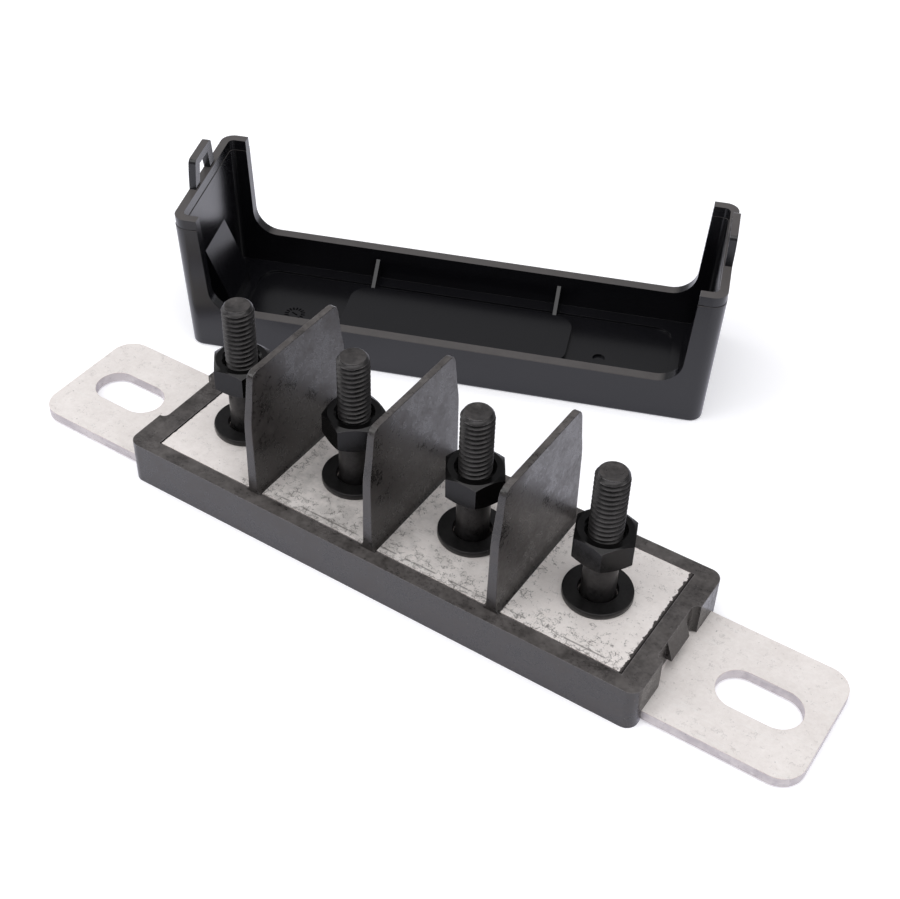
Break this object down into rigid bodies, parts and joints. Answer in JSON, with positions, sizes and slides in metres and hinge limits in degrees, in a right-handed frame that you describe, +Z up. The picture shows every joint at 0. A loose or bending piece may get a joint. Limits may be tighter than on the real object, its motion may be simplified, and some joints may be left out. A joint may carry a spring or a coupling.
{
  "type": "power distribution busbar",
  "caption": "Insulated power distribution busbar: plated copper bar in a moulded base with dividing barriers, threaded studs, slotted end tabs and a clip-on cover.",
  "frame": {"origin": "centre of the base's underside, on the mounting surface", "axes": "+X along the bar and its stud row, +Z up along the studs, +Y towards the side where the cover lies"},
  "size_m": [0.1623, 0.1049, 0.0373],
  "materials": {
    "black_moulding": "matte, mineral-filled moulding with a faint mottle",
    "tinned_copper": "matte tin plating over copper, lightly scratched and stained",
    "black_oxide_stud": "black oxide steel, semi-gloss rolled thread",
    "black_oxide_washer": "black oxide steel, semi-gloss with worn edges",
    "black_oxide_nut": "black oxide steel, glossy flats",
    "satin_plastic": "smooth satin injection moulding"
  },
  "bodies": {
    "base_body": {"base": "black_moulding", "busbar": "tinned_copper", "stud_1": "black_oxide_stud", "stud_2": "black_oxide_stud", "stud_3": "black_oxide_stud", "stud_4": "black_oxide_stud"},
    "washer_1_body": {"washer_1": "black_oxide_washer"},
    "washer_2_body": {"washer_2": "black_oxide_washer"},
    "washer_3_body": {"washer_3": "black_oxide_washer"},
    "washer_4_body": {"washer_4": "black_oxide_washer"},
    "nut_1_body": {"nut_1": "black_oxide_nut"},
    "nut_2_body": {"nut_2": "black_oxide_nut"},
    "nut_3_body": {"nut_3": "black_oxide_nut"},
    "nut_4_body": {"nut_4": "black_oxide_nut"},
    "cover_body": {"cover": "satin_plastic"}
  },
  "joints": [
    {"name": "nut_1_turn", "type": "hinge", "parent": "base_body", "child": "nut_1_body", "pos_m": [-0.0378, 0, 0.0225], "axis": [0, 0, 1], "continuous": true},
    {"name": "nut_2_turn", "type": "hinge", "parent": "base_body", "child": "nut_2_body", "pos_m": [-0.0128, 0, 0.02205], "axis": [0, 0, 1], "continuous": true},
    {"name": "nut_3_turn", "type": "hinge", "parent": "base_body", "child": "nut_3_body", "pos_m": [0.0122, 0, 0.0223], "axis": [0, 0, 1], "continuous": true},
    {"name": "nut_4_turn", "type": "hinge", "parent": "base_body", "child": "nut_4_body", "pos_m": [0.0372, 0, 0.0218], "axis": [0, 0, 1], "continuous": true},
    {"name": "washer_1_slide", "type": "slide", "parent": "base_body", "child": "washer_1_body", "axis": [0, 0, 1], "range_m": [0, 0.0094]},
    {"name": "washer_2_slide", "type": "slide", "parent": "base_body", "child": "washer_2_body", "axis": [0, 0, 1], "range_m": [0, 0.00895]},
    {"name": "washer_3_slide", "type": "slide", "parent": "base_body", "child": "washer_3_body", "axis": [0, 0, 1], "range_m": [0, 0.0092]},
    {"name": "washer_4_slide", "type": "slide", "parent": "base_body", "child": "washer_4_body", "axis": [0, 0, 1], "range_m": [0, 0.0087]},
    {"name": "cover_lift", "type": "slide", "parent": "base_body", "child": "cover_body", "axis": [0, 0, 1], "range_m": [0, 0.06]}
  ]
}
